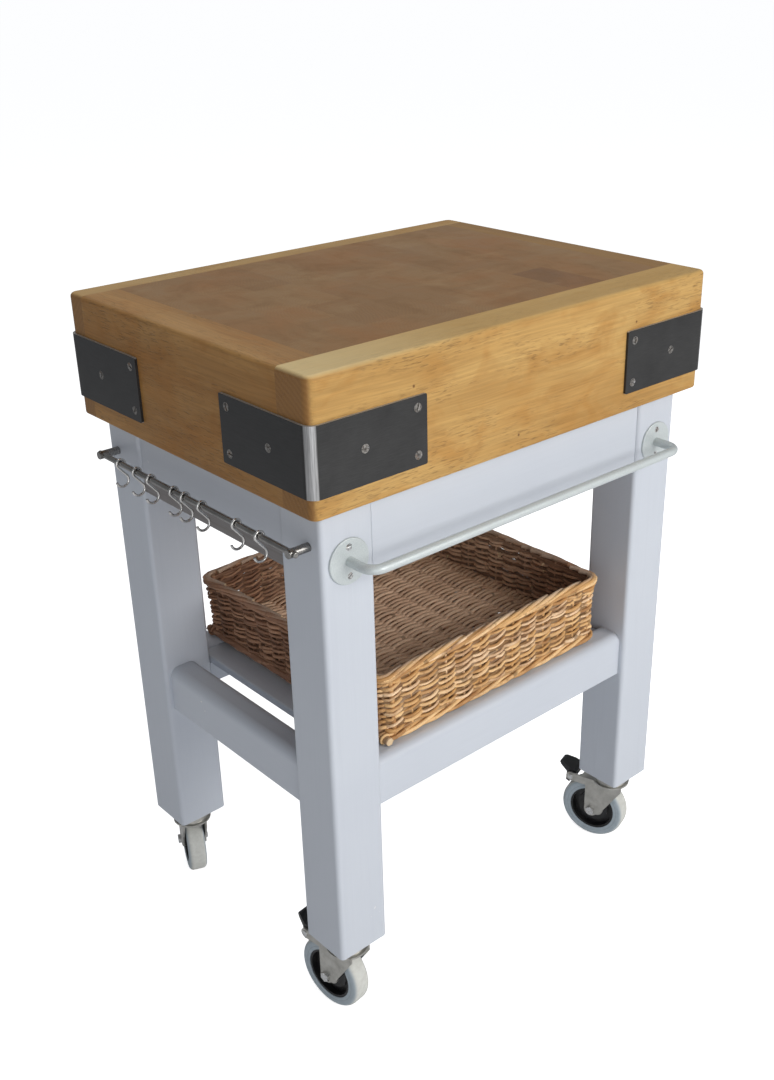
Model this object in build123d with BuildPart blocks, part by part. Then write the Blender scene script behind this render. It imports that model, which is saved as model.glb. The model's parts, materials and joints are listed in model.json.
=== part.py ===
"""Butcher block table on castors, with a towel rail, a utensil rail and a basket on a slatted shelf.

Millimetres. +Z is up, +X runs along the block, the towel rail is on the -Y side and the utensil rail
on the -X side. The origin is on the floor under the middle of the block.
"""

from build123d import *
from math import acos, cos, degrees, radians, sin
import os

os.makedirs("parts", exist_ok=True)

# ---------------------------------------------------------------- driving dimensions
# Chopping block
block_length = 610.0
block_width = 458.0
block_thickness = 148.0
front_border_width = 50.0
back_border_width = 32.0
left_border_width = 49.0
right_border_width = 35.0
block_corner_radius = 10.0
block_top_round = 5.0
block_bottom_round = 3.0

# Legs
leg_length = 587.0
leg_size = 70.0
leg_round = 5.5
leg_end_chamfer = 2.0
overhang_at_ends = 20.0
overhang_at_sides = 19.0
leg_dowel_diameter = 24.0
leg_dowel_length = 30.0

# Top aprons and lower stretchers
apron_depth = 86.0
apron_thickness = 22.0
apron_recess = 3.0
apron_edge_round = 3.0
stretcher_depth = 62.0
stretcher_thickness = 40.0
stretcher_recess = 8.0
stretcher_top_round = 12.0
stretcher_bottom_round = 3.0
shelf_height = 369.0
tenon_length = 25.0
tenon_shoulder = 12.0
apron_tenon_thickness = 10.0
stretcher_tenon_thickness = 14.0
joint_clearance = 0.1
tenon_end_gap = 0.6

# Slatted shelf
slat_count = 7
slat_width = 48.0
slat_thickness = 11.0
slat_edge_round = 2.0
slat_below_stretchers = 7.0
slat_end_clearance = 0.5
slat_leg_clearance = 1.0
cleat_size = 18.0

# Steel corner brackets
bracket_wing = 150.0
bracket_height = 76.0
bracket_thickness = 3.0
bracket_below_top = 48.0
bracket_tip_round = 2.0
bracket_screw_from_corner = 68.0
bracket_screw_inset = 12.5

# Wood screws
screw_head_diameter = 9.6
screw_shank_diameter = 4.5
screw_length = 26.0
small_screw_head_diameter = 7.6
small_screw_shank_diameter = 3.6
small_screw_length = 20.0
slot_width = 1.3
slot_depth = 1.1
screw_clearance = 0.1

# Towel rail
towel_bar_diameter = 11.0
towel_bar_standoff = 38.0
towel_bar_bend_radius = 16.0
towel_rail_drop = 64.5
towel_flange_diameter = 52.0
towel_flange_thickness = 2.5
towel_flange_screw_offset = 16.5

# Utensil rail and hooks
rail_diameter = 7.0
rail_standoff = 21.0
rail_drop = 44.0
rail_overshoot = 3.0
rail_post_diameter = 10.0
rail_post_past_rail = 2.5
rail_post_from_leg_edge = 20.0
rail_post_groove_depth = 0.6
rail_post_groove_width = 0.8
rail_post_groove_from_end = 1.9
rail_post_end_chamfer = 0.6
rail_post_spigot_diameter = 6.0
rail_post_spigot_length = 18.0
hook_wire_diameter = 3.0
hook_loop_clearance = 0.5
hook_hang_gap = 0.3
hook_lower_radius = 8.0
hook_loop_spacing = 21.0
hook_shares = (0.78, 0.585, 0.42, 0.163, 0.042, -0.137, -0.484, -0.705)

# Basket
basket_gap_to_legs = 24.0
basket_past_stretcher_middle = 8.0
basket_height = 98.0
basket_wall = 12.0
basket_floor = 9.0
basket_foot_height = 13.0
basket_rim_height = 15.0
basket_roll_proud = 4.0
basket_corner_radius = 20.0
basket_rest_gap = 0.3

# Castors
wheel_diameter = 96.0
wheel_width = 25.0
wheel_trail = 23.0
tyre_depth = 14.0
tyre_round = 6.0
tyre_bond_gap = 0.05
hub_diameter = 24.0
hub_width = 27.0
wheel_web = 6.0
wheel_step_diameter = 46.0
wheel_step_height = 3.0
wheel_rim = 3.0
axle_diameter = 8.0
axle_head_across_flats = 12.0
axle_head_height = 4.0
axle_clearance = 0.05
fork_plate = 2.5
fork_side_gap = 1.0
fork_lobe_radius = 10.0
fork_toe_forward = 8.0
fork_toe_up = 5.0
fork_toe_radius = 11.0
crown_diameter = 52.0
crown_over_tyre = 3.5
race_diameter = 44.0
race_height = 12.7
stem_diameter = 10.0
stem_length = 38.0
stem_head_diameter = 18.0
stem_head_height = 3.5
race_plate_diameter = 54.0
race_plate_thickness = 3.0
swivel_clearance = 0.3
pedal_pivot_over_tyre = 11.5
pedal_pivot_angle = 55.0
pedal_lug_radius = 7.0
pedal_pin_diameter = 5.0
pedal_side_gap = 0.5
pedal_past_pivot = 21.5
pedal_rise = 17.5
pedal_tread_thickness = 8.0
pedal_tip_width = 15.0
castor_turns = {"front_left": 97.0, "front_right": 108.0, "back_left": 67.0, "back_right": 78.0}

# ---------------------------------------------------------------- derived places
crown_under = wheel_diameter + crown_over_tyre
crown_top = crown_under + fork_plate
race_top = crown_top + race_height
castor_height = race_top + swivel_clearance + race_plate_thickness
frame_top = castor_height + leg_length
block_top = frame_top + block_thickness
leg_x = block_length / 2 - overhang_at_ends - leg_size / 2
leg_y = block_width / 2 - overhang_at_sides - leg_size / 2
leg_face_x = leg_x + leg_size / 2
leg_face_y = leg_y + leg_size / 2
leg_inner_x = leg_x - leg_size / 2
leg_inner_y = leg_y - leg_size / 2
apron_y = leg_face_y - apron_recess - apron_thickness / 2
apron_x = leg_face_x - apron_recess - apron_thickness / 2
stretcher_y = leg_face_y - stretcher_recess - stretcher_thickness / 2
stretcher_x = leg_face_x - stretcher_recess - stretcher_thickness / 2
apron_z = frame_top - apron_depth / 2
stretcher_z = shelf_height - stretcher_depth / 2
sides = {"left": -1, "right": 1, "front": -1, "back": 1}
corners = {
    "front_left": (-1, -1),
    "front_right": (1, -1),
    "back_left": (-1, 1),
    "back_right": (1, 1),
}


def save(part, name):
    """Label one finished piece and write its STEP file."""
    part.label = name
    export_step(part, f"parts/{name}.step")


# ---------------------------------------------------------------- fastenings
def countersunk_screw(head_diameter, shank_diameter, length):
    """A slotted countersunk screw with its head's face on XY and its shank along -Z."""
    head_height = (head_diameter - shank_diameter) / 2
    with BuildPart() as screw:
        with BuildSketch(Plane.XZ):
            with BuildLine():
                Polyline(
                    (0, 0),
                    (head_diameter / 2, 0),
                    (shank_diameter / 2, -head_height),
                    (shank_diameter / 2, -length + shank_diameter / 2),
                    (0, -length),
                    close=True,
                )
            make_face()
        revolve(axis=Axis.Z)
        Box(
            head_diameter,
            slot_width,
            slot_depth,
            align=(Align.CENTER, Align.CENTER, Align.MAX),
            mode=Mode.SUBTRACT,
        )
    return screw.part


def screw_group(screw, places):
    """The same screw at each plane, every one with its slot turned a little further."""
    with BuildPart() as group:
        for index, place in enumerate(places):
            with Locations(place.location * Location((0, 0, 0), (0, 0, 35 * index))):
                add(screw)
    return group.part


def bracket_screw_places():
    """Planes on the outside of every bracket wing, at each of its three screws."""
    z_middle = block_top - bracket_below_top - bracket_height / 2
    z_edge = bracket_height / 2 - bracket_screw_inset
    end_inset = bracket_wing - bracket_screw_inset
    offsets = [(bracket_screw_from_corner, 0), (end_inset, z_edge), (end_inset, -z_edge)]
    outer_x = block_length / 2 + bracket_thickness
    outer_y = block_width / 2 + bracket_thickness
    places = []
    for sx, sy in corners.values():
        for along, up in offsets:
            long_wing = (sx * (outer_x - along), sy * outer_y, z_middle + up)
            short_wing = (sx * outer_x, sy * (outer_y - along), z_middle + up)
            places.append(Plane(long_wing, x_dir=(1, 0, 0), z_dir=(0, sy, 0)))
            places.append(Plane(short_wing, x_dir=(0, 1, 0), z_dir=(sx, 0, 0)))
    return places


def towel_screw_places():
    """Planes on the outer face of both towel rail flanges, at their screws."""
    z_rail = frame_top - towel_rail_drop
    y_face = -leg_face_y - towel_flange_thickness
    return [
        Plane((side * leg_x, y_face, z_rail + up), x_dir=(1, 0, 0), z_dir=(0, -1, 0))
        for side in (-1, 1)
        for up in (towel_flange_screw_offset, -towel_flange_screw_offset)
    ]


def pilot_holes(places, shank_diameter, length):
    """Cut the screws' pilot holes in the part being built."""
    for place in places:
        with Locations(place.location):
            Cylinder(
                shank_diameter / 2 + screw_clearance,
                length + 1,
                align=(Align.CENTER, Align.CENTER, Align.MAX),
                mode=Mode.SUBTRACT,
            )


wood_screw = countersunk_screw(screw_head_diameter, screw_shank_diameter, screw_length)
small_screw = countersunk_screw(
    small_screw_head_diameter, small_screw_shank_diameter, small_screw_length
)
bracket_places = bracket_screw_places()
towel_places = towel_screw_places()

# ---------------------------------------------------------------- chopping block
core_length = block_length - left_border_width - right_border_width
core_width = block_width - front_border_width - back_border_width
core_x = (left_border_width - right_border_width) / 2
core_y = (front_border_width - back_border_width) / 2

with BuildPart() as block_blank:
    with BuildSketch(Plane.XY.offset(frame_top)):
        RectangleRounded(block_length, block_width, block_corner_radius)
    extrude(amount=block_thickness)
    fillet(block_blank.faces().sort_by(Axis.Z)[-1].edges(), block_top_round)
    fillet(block_blank.faces().sort_by(Axis.Z)[0].edges(), block_bottom_round)


def dowel_sockets():
    """Cut the blind holes for the legs' dowels in the part being built."""
    with Locations((0, 0, frame_top)):
        with GridLocations(2 * leg_x, 2 * leg_y, 2, 2):
            Cylinder(
                leg_dowel_diameter / 2 + joint_clearance,
                leg_dowel_length + tenon_end_gap,
                align=(Align.CENTER, Align.CENTER, Align.MIN),
                mode=Mode.SUBTRACT,
            )


def block_board(size_x, size_y, middle_x, middle_y):
    """One board of the block: its share of the rounded blank, with screw holes and dowel sockets."""
    with BuildPart() as board:
        add(block_blank.part)
        with Locations((middle_x, middle_y, frame_top + block_thickness / 2)):
            Box(size_x, size_y, block_thickness, mode=Mode.INTERSECT)
        pilot_holes(bracket_places, screw_shank_diameter, screw_length)
        dowel_sockets()
    return board.part


for board_name, width in (("front", front_border_width), ("back", back_border_width)):
    board_y = sides[board_name] * (block_width - width) / 2
    save(block_board(block_length, width, 0, board_y), f"{board_name}_border_board")
for board_name, width in (("left", left_border_width), ("right", right_border_width)):
    board_x = sides[board_name] * (block_length - width) / 2
    save(block_board(width, core_width, board_x, core_y), f"{board_name}_border_board")

with BuildPart() as end_grain_core:
    with Locations((core_x, core_y, frame_top)):
        Box(
            core_length,
            core_width,
            block_thickness,
            align=(Align.CENTER, Align.CENTER, Align.MIN),
        )
    dowel_sockets()
save(end_grain_core.part, "end_grain_core")

# ---------------------------------------------------------------- corner brackets
bracket_bottom = block_top - bracket_below_top - bracket_height


def corner_bracket(side_x, side_y):
    """A strap of flat steel bent round one vertical corner of the block."""
    inner_x = side_x * block_length / 2
    inner_y = side_y * block_width / 2
    bend = block_corner_radius + bracket_thickness / 2
    middle_x = inner_x + side_x * bracket_thickness / 2
    middle_y = inner_y + side_y * bracket_thickness / 2
    reach = bracket_wing - bracket_thickness / 2
    with BuildPart() as bracket:
        with BuildSketch(Plane.XY.offset(bracket_bottom)):
            with BuildLine() as bend_line:
                FilletPolyline(
                    (middle_x - side_x * reach, middle_y),
                    (middle_x, middle_y),
                    (middle_x, middle_y - side_y * reach),
                    radius=bend,
                )
            trace(line_width=bracket_thickness)
        extrude(amount=bracket_height)
        # Square off the traced ends at the wings' own length, then ease their corners.
        with Locations((inner_x, inner_y, bracket_bottom + bracket_height / 2)):
            Box(
                2 * (bracket_wing - bracket_thickness),
                2 * (bracket_wing - bracket_thickness),
                bracket_height,
                mode=Mode.INTERSECT,
            )
        tip_x = inner_x - side_x * (bracket_wing - bracket_thickness)
        tip_y = inner_y - side_y * (bracket_wing - bracket_thickness)
        tips = bracket.edges().filter_by(Axis.Y).filter_by_position(Axis.X, tip_x - 0.1, tip_x + 0.1)
        tips += bracket.edges().filter_by(Axis.X).filter_by_position(Axis.Y, tip_y - 0.1, tip_y + 0.1)
        fillet(tips, bracket_tip_round)
        for place in bracket_places:
            with Locations(place.location):
                CounterSinkHole(
                    screw_shank_diameter / 2 + screw_clearance,
                    screw_head_diameter / 2 + screw_clearance,
                    depth=screw_length,
                    counter_sink_angle=90,
                )
    return bracket.part


for corner, (side_x, side_y) in corners.items():
    save(corner_bracket(side_x, side_y), f"corner_bracket_{corner}")
save(screw_group(wood_screw, bracket_places), "bracket_screws")


# ---------------------------------------------------------------- frame
def rail_member(length, depth, thickness, tenon_thickness, top_round, bottom_round):
    """An apron or a stretcher along X, centred on the origin, with a tenon at each end."""
    with BuildPart() as member:
        Box(length, thickness, depth)
        long_edges = member.edges().filter_by(Axis.X)
        fillet(long_edges.group_by(Axis.Z)[-1], top_round)
        long_edges = member.edges().filter_by(Axis.X)
        fillet(long_edges.group_by(Axis.Z)[0], bottom_round)
        Box(length + 2 * tenon_length, tenon_thickness, depth - 2 * tenon_shoulder)
    return member.part


def apron(length):
    """A top apron, square on top where it meets the block."""
    return rail_member(
        length, apron_depth, apron_thickness, apron_tenon_thickness, 0.5, apron_edge_round
    )


def stretcher(length):
    """A lower stretcher with a generous round along its top edges."""
    return rail_member(
        length,
        stretcher_depth,
        stretcher_thickness,
        stretcher_tenon_thickness,
        stretcher_top_round,
        stretcher_bottom_round,
    )


long_apron = apron(2 * leg_inner_x)
short_apron = apron(2 * leg_inner_y)
long_stretcher = stretcher(2 * leg_inner_x)
short_stretcher = stretcher(2 * leg_inner_y)

for side in ("front", "back"):
    save(long_apron.moved(Location((0, sides[side] * apron_y, apron_z))), f"{side}_apron")
for side in ("left", "right"):
    place = Location((sides[side] * apron_x, 0, apron_z), (0, 0, 90))
    save(short_apron.moved(place), f"{side}_apron")


def mortises(side_x, side_y):
    """Cut one leg's four mortises in the part being built."""
    members = (
        (apron_x, apron_y, apron_z, apron_tenon_thickness, apron_depth),
        (stretcher_x, stretcher_y, stretcher_z, stretcher_tenon_thickness, stretcher_depth),
    )
    reach = tenon_length + tenon_end_gap
    for x_line, y_line, z_line, thickness, depth in members:
        wide = thickness + 2 * joint_clearance
        high = depth - 2 * tenon_shoulder + 2 * joint_clearance
        with Locations((side_x * (leg_inner_x + reach / 2), side_y * y_line, z_line)):
            Box(reach, wide, high, mode=Mode.SUBTRACT)
        with Locations((side_x * x_line, side_y * (leg_inner_y + reach / 2), z_line)):
            Box(wide, reach, high, mode=Mode.SUBTRACT)


rail_z = frame_top - rail_drop
rail_x = -leg_face_x - rail_standoff
rail_post_y = leg_face_y - rail_post_from_leg_edge


def leg(side_x, side_y):
    """A square leg with its dowel, mortises, castor bore and the rails' screw holes."""
    with BuildPart() as post:
        with BuildSketch(Plane.XY.offset(castor_height)):
            with Locations((side_x * leg_x, side_y * leg_y)):
                RectangleRounded(leg_size, leg_size, leg_round)
        extrude(amount=leg_length)
        chamfer(post.faces().sort_by(Axis.Z)[0].edges(), leg_end_chamfer)
        with BuildSketch(Plane.XY.offset(frame_top)):
            with Locations((side_x * leg_x, side_y * leg_y)):
                Circle(leg_dowel_diameter / 2)
        extrude(amount=leg_dowel_length)
        mortises(side_x, side_y)
        with BuildSketch(Plane.XY.offset(castor_height)):
            with Locations((side_x * leg_x, side_y * leg_y)):
                Circle(stem_diameter / 2 + joint_clearance)
        extrude(amount=stem_length + 1, mode=Mode.SUBTRACT)
        if side_y < 0:
            pilot_holes(towel_places, small_screw_shank_diameter, small_screw_length)
        if side_x < 0:
            with Locations(Plane((-leg_face_x, side_y * rail_post_y, rail_z), z_dir=(1, 0, 0))):
                Cylinder(
                    rail_post_spigot_diameter / 2 + joint_clearance,
                    rail_post_spigot_length + 1,
                    align=(Align.CENTER, Align.CENTER, Align.MIN),
                    mode=Mode.SUBTRACT,
                )
    return post.part


for corner, (side_x, side_y) in corners.items():
    save(leg(side_x, side_y), f"leg_{corner}")

# ---------------------------------------------------------------- slatted shelf
stretcher_inner_y = stretcher_y - stretcher_thickness / 2
slat_length = 2 * (stretcher_inner_y - slat_end_clearance)
slat_span = 2 * (leg_inner_x - slat_leg_clearance) - slat_width
slat_pitch = slat_span / (slat_count - 1)
slat_bottom = shelf_height - slat_below_stretchers - slat_thickness
cleat_z = slat_bottom - cleat_size / 2
cleat_y = stretcher_inner_y - cleat_size / 2
cleat_length = 2 * (leg_inner_x - slat_end_clearance)
slat_screw_places = [
    Plane(
        ((index - (slat_count - 1) / 2) * slat_pitch, side * cleat_y, cleat_z - cleat_size / 2),
        x_dir=(1, 0, 0),
        z_dir=(0, 0, -1),
    )
    for side in (-1, 1)
    for index in range(slat_count)
]
slat_screw_length = cleat_size + slat_thickness - 4
slat_screw = countersunk_screw(
    small_screw_head_diameter, small_screw_shank_diameter, slat_screw_length
)

with BuildPart() as shelf_slats:
    with BuildSketch(Plane.XY.offset(slat_bottom)):
        with GridLocations(slat_pitch, 0, slat_count, 1):
            Rectangle(slat_width, slat_length)
    extrude(amount=slat_thickness)
    fillet(shelf_slats.edges().filter_by(Axis.Y), slat_edge_round)
    pilot_holes(slat_screw_places, small_screw_shank_diameter, slat_screw_length)
save(shelf_slats.part, "shelf_slats")

with BuildPart() as shelf_cleats:
    with Locations((0, -cleat_y, cleat_z), (0, cleat_y, cleat_z)):
        Box(cleat_length, cleat_size, cleat_size)
    for place in slat_screw_places:
        with Locations(place.location):
            CounterSinkHole(
                small_screw_shank_diameter / 2 + screw_clearance,
                small_screw_head_diameter / 2 + screw_clearance,
                depth=cleat_size,
                counter_sink_angle=90,
            )
save(shelf_cleats.part, "shelf_cleats")
save(screw_group(slat_screw, slat_screw_places), "slat_screws")

for side in ("front", "back"):
    place = Location((0, sides[side] * stretcher_y, stretcher_z))
    save(long_stretcher.moved(place), f"{side}_stretcher")
for side in ("left", "right"):
    place = Location((sides[side] * stretcher_x, 0, stretcher_z), (0, 0, 90))
    save(short_stretcher.moved(place), f"{side}_stretcher")

# ---------------------------------------------------------------- towel rail
towel_z = frame_top - towel_rail_drop
flange_face_y = -leg_face_y - towel_flange_thickness
towel_bar_y = -leg_face_y - towel_bar_standoff

with BuildPart() as towel_rail:
    with BuildLine(Plane.XY.offset(towel_z)):
        FilletPolyline(
            (-leg_x, flange_face_y),
            (-leg_x, towel_bar_y),
            (leg_x, towel_bar_y),
            (leg_x, flange_face_y),
            radius=towel_bar_bend_radius,
        )
    with BuildSketch(Plane((-leg_x, flange_face_y, towel_z), z_dir=(0, -1, 0))):
        Circle(towel_bar_diameter / 2)
    sweep()
save(towel_rail.part, "towel_rail")

with BuildPart() as towel_rail_flanges:
    for side in (-1, 1):
        with BuildSketch(Plane((side * leg_x, -leg_face_y, towel_z), z_dir=(0, -1, 0))):
            Circle(towel_flange_diameter / 2)
        extrude(amount=towel_flange_thickness)
    fillet(
        towel_rail_flanges.faces().sort_by(Axis.Y)[:2].edges().filter_by(GeomType.CIRCLE),
        towel_flange_thickness * 0.4,
    )
    for place in towel_places:
        with Locations(place.location):
            CounterSinkHole(
                small_screw_shank_diameter / 2 + screw_clearance,
                small_screw_head_diameter / 2 + screw_clearance,
                depth=towel_flange_thickness,
                counter_sink_angle=90,
            )
save(towel_rail_flanges.part, "towel_rail_flanges")
save(screw_group(small_screw, towel_places), "towel_rail_screws")

# ---------------------------------------------------------------- utensil rail
rail_length = 2 * rail_post_y + rail_post_diameter + 2 * rail_overshoot

with BuildPart() as utensil_rail:
    with Locations(Plane((rail_x, 0, rail_z), z_dir=(0, 1, 0))):
        Cylinder(rail_diameter / 2, rail_length)
    fillet(utensil_rail.edges().filter_by(GeomType.CIRCLE), rail_diameter * 0.2)
save(utensil_rail.part, "utensil_rail")

# Each post is turned with a groove behind its end, and is screwed in the leg by its spigot.
post_length = rail_standoff + rail_diameter / 2 + rail_post_past_rail
post_radius = rail_post_diameter / 2
groove_start = post_length - rail_post_groove_from_end
with BuildPart() as rail_post:
    with BuildSketch(Plane.XZ):
        with BuildLine():
            Polyline(
                (0, -rail_post_spigot_length),
                (rail_post_spigot_diameter / 2, -rail_post_spigot_length),
                (rail_post_spigot_diameter / 2, 0),
                (post_radius, 0),
                (post_radius, groove_start),
                (post_radius - rail_post_groove_depth, groove_start),
                (post_radius - rail_post_groove_depth, groove_start + rail_post_groove_width),
                (post_radius, groove_start + rail_post_groove_width),
                (post_radius, post_length - rail_post_end_chamfer),
                (post_radius - rail_post_end_chamfer, post_length),
                (0, post_length),
                close=True,
            )
        make_face()
    revolve(axis=Axis.Z)
    with Locations(Plane((0, 0, rail_standoff), z_dir=(0, 1, 0))):
        Cylinder(
            rail_diameter / 2 + joint_clearance,
            2 * rail_post_diameter,
            mode=Mode.SUBTRACT,
        )

with BuildPart() as utensil_rail_posts:
    for side in (-1, 1):
        with Locations(
            Plane((-leg_face_x, side * rail_post_y, rail_z), x_dir=(0, 0, 1), z_dir=(-1, 0, 0)).location
        ):
            add(rail_post.part)
save(utensil_rail_posts.part, "utensil_rail_posts")


# ---------------------------------------------------------------- S-hooks
def s_hook(place_y):
    """An S of round wire: a snug loop over the rail and a wider open hook below it."""
    upper = rail_diameter / 2 + hook_loop_clearance + hook_wire_diameter / 2
    lower = hook_lower_radius
    lean = acos((upper + lower) / hook_loop_spacing)
    normal_x = -sin(lean)
    normal_z = -cos(lean)
    centre_x = rail_x
    centre_z = rail_z - hook_loop_clearance + hook_hang_gap
    lower_z = centre_z - hook_loop_spacing
    lean_angle = degrees(lean)
    leave_angle = 270 - lean_angle
    meet_angle = 90 - lean_angle
    with BuildPart() as hook:
        with BuildLine(Plane((0, place_y, 0), x_dir=(1, 0, 0), z_dir=(0, -1, 0))) as wire:
            CenterArc((centre_x, centre_z), upper, -25, leave_angle + 25)
            Line(
                (centre_x + upper * normal_x, centre_z + upper * normal_z),
                (centre_x - lower * normal_x, lower_z - lower * normal_z),
            )
            CenterArc((centre_x, lower_z), lower, meet_angle, -(meet_angle + 170))
        start = wire.line @ 0
        heading = wire.line % 0
        with BuildSketch(Plane(start, z_dir=heading)):
            Circle(hook_wire_diameter / 2)
        sweep()
    return hook.part


for number, share in enumerate(hook_shares, start=1):
    save(s_hook(share * rail_post_y), f"s_hook_{number}")

# ---------------------------------------------------------------- basket
basket_bottom = shelf_height + basket_rest_gap
basket_length = 2 * (leg_inner_x - basket_gap_to_legs)
basket_width = 2 * (stretcher_y + basket_past_stretcher_middle)
with BuildPart() as basket:
    with BuildSketch(Plane.XY.offset(basket_bottom)):
        RectangleRounded(
            basket_length - 2 * basket_roll_proud,
            basket_width - 2 * basket_roll_proud,
            basket_corner_radius - basket_roll_proud,
        )
    extrude(amount=basket_height)
    # The foot and the rim are rolls of willow that stand a little proud of the wall.
    with BuildSketch(
        Plane.XY.offset(basket_bottom),
        Plane.XY.offset(basket_bottom + basket_height - basket_rim_height),
    ):
        RectangleRounded(basket_length, basket_width, basket_corner_radius)
    extrude(amount=basket_foot_height)
    with BuildSketch(Plane.XY.offset(basket_bottom + basket_foot_height + basket_floor)):
        RectangleRounded(
            basket_length - 2 * (basket_roll_proud + basket_wall),
            basket_width - 2 * (basket_roll_proud + basket_wall),
            basket_corner_radius - basket_roll_proud,
        )
    extrude(amount=basket_height, mode=Mode.SUBTRACT)
    with BuildSketch(Plane.XY.offset(basket_bottom)):
        RectangleRounded(
            basket_length - 2 * (basket_roll_proud + basket_wall),
            basket_width - 2 * (basket_roll_proud + basket_wall),
            basket_corner_radius - basket_roll_proud,
        )
    extrude(amount=basket_foot_height, mode=Mode.SUBTRACT)
save(basket.part, "basket")

# ---------------------------------------------------------------- castors
# Each is modelled with its swivel axis on Z, trailing towards +X, and then turned and placed.
axle_z = wheel_diameter / 2
axle_x = wheel_trail
fork_inner = hub_width / 2 + fork_side_gap
fork_outer = fork_inner + fork_plate
pivot_from_axle = axle_z + pedal_pivot_over_tyre
pivot_x = axle_x + pivot_from_axle * cos(radians(pedal_pivot_angle))
pivot_z = axle_z + pivot_from_axle * sin(radians(pedal_pivot_angle))
pedal_reach = pivot_x + pedal_past_pivot
axle_across = Plane((axle_x, 0, axle_z), z_dir=(0, 1, 0))

with BuildPart() as castor_stem:
    # Plate and ball race fixed under the leg, and the kingpin that carries the fork on its head.
    with BuildSketch(Plane.XY.offset(castor_height)):
        Circle(race_plate_diameter / 2)
    extrude(amount=-race_plate_thickness)
    fillet(castor_stem.edges().filter_by(GeomType.CIRCLE).sort_by(Axis.Z)[0], 1)
    with BuildSketch(Plane.XY.offset(crown_under - swivel_clearance - stem_head_height)):
        Circle(stem_diameter / 2)
    extrude(until=Until.NEXT, target=castor_stem.part)
    with BuildSketch(Plane.XY.offset(castor_height)):
        Circle(stem_diameter / 2)
    extrude(amount=stem_length)
    with BuildSketch(Plane.XY.offset(crown_under - swivel_clearance)):
        Circle(stem_head_diameter / 2)
    extrude(amount=-stem_head_height)

with BuildPart() as castor_stems:
    for side_x, side_y in corners.values():
        with Locations((side_x * leg_x, side_y * leg_y, 0)):
            add(castor_stem.part)
save(castor_stems.part, "castor_stems")

with BuildPart() as fork:
    # Side plates: a lobe round the axle with a toe in front of it, widening up to the crown, and
    # a lug back to the pedal.
    with BuildSketch(Plane.XZ.offset(-fork_outer)) as fork_side:
        with BuildLine():
            Polyline(
                (axle_x - fork_toe_forward - fork_toe_radius, axle_z + fork_toe_up),
                (-crown_diameter / 2 + 4, crown_under - 6),
                (-crown_diameter / 2 + 4, crown_top),
                (axle_x + 18, crown_top),
                (pivot_x, pivot_z + pedal_lug_radius),
                (pivot_x, pivot_z - pedal_lug_radius),
                (axle_x + fork_lobe_radius, pivot_z - pedal_lug_radius),
                (axle_x + fork_lobe_radius, axle_z),
                close=True,
            )
        make_face()
        with Locations((axle_x, axle_z)):
            Circle(fork_lobe_radius)
        with Locations((axle_x - fork_toe_forward, axle_z + fork_toe_up)):
            Circle(fork_toe_radius)
        with Locations((pivot_x, pivot_z)):
            Circle(pedal_lug_radius)
    extrude(amount=2 * fork_outer)
    with Locations(((axle_x + pivot_x) / 2, 0, 0)):
        Box(
            4 * pivot_x,
            2 * fork_inner,
            crown_under,
            align=(Align.CENTER, Align.CENTER, Align.MIN),
            mode=Mode.SUBTRACT,
        )
    with Locations((axle_x + 18, 0, crown_under)):
        Box(
            pedal_reach,
            2 * fork_inner,
            castor_height,
            align=(Align.MIN, Align.CENTER, Align.MIN),
            mode=Mode.SUBTRACT,
        )
    with BuildSketch(Plane.XY.offset(crown_under)):
        Circle(crown_diameter / 2)
    extrude(amount=fork_plate)
    with BuildSketch(Plane.XY.offset(crown_top)):
        Circle(race_diameter / 2)
    extrude(amount=race_top - crown_top, taper=12)
    with Locations((0, 0, crown_top)):
        Cylinder(
            stem_diameter / 2 + axle_clearance,
            castor_height,
            mode=Mode.SUBTRACT,
        )
    with Locations(axle_across):
        Cylinder(axle_diameter / 2 + axle_clearance, 4 * fork_outer, mode=Mode.SUBTRACT)
    with Locations(Plane((pivot_x, 0, pivot_z), z_dir=(0, 1, 0))):
        Cylinder(pedal_pin_diameter / 2 + axle_clearance, 4 * fork_outer, mode=Mode.SUBTRACT)

with BuildPart() as castor_bolts:
    # Axle bolt with its nut, and the rivet that the brake pedal turns on.
    with Locations(axle_across):
        Cylinder(axle_diameter / 2, 2 * fork_outer + axle_head_height + 3)
    with BuildSketch(Plane((axle_x, fork_outer, axle_z), z_dir=(0, 1, 0))):
        RegularPolygon(axle_head_across_flats / 2, 6, major_radius=False)
    extrude(amount=axle_head_height)
    with BuildSketch(Plane((axle_x, -fork_outer, axle_z), z_dir=(0, -1, 0))):
        RegularPolygon(axle_head_across_flats / 2, 6, major_radius=False)
    extrude(amount=axle_head_height)
    with Locations(Plane((pivot_x, 0, pivot_z), z_dir=(0, 1, 0))):
        Cylinder(pedal_pin_diameter / 2, 2 * fork_outer + 2)
    for side in (-1, 1):
        with Locations(Plane((pivot_x, side * fork_outer, pivot_z), z_dir=(0, side, 0))):
            Cylinder(
                pedal_pin_diameter * 0.8,
                1.4,
                align=(Align.CENTER, Align.CENTER, Align.MIN),
            )

with BuildPart() as wheel_centre:
    rim_radius = wheel_diameter / 2 - tyre_depth
    with Locations(axle_across):
        Cylinder(rim_radius, wheel_width - 2)
    for side in (-1, 1):
        with BuildSketch(Plane((axle_x, side * wheel_web / 2, axle_z), z_dir=(0, side, 0))):
            Circle(rim_radius - wheel_rim)
        extrude(amount=wheel_width, mode=Mode.SUBTRACT)
    with Locations(axle_across):
        Cylinder(wheel_step_diameter / 2, wheel_web + 2 * wheel_step_height)
        Cylinder(hub_diameter / 2, hub_width)
        Cylinder(axle_diameter / 2 + axle_clearance, 2 * hub_width, mode=Mode.SUBTRACT)

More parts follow.
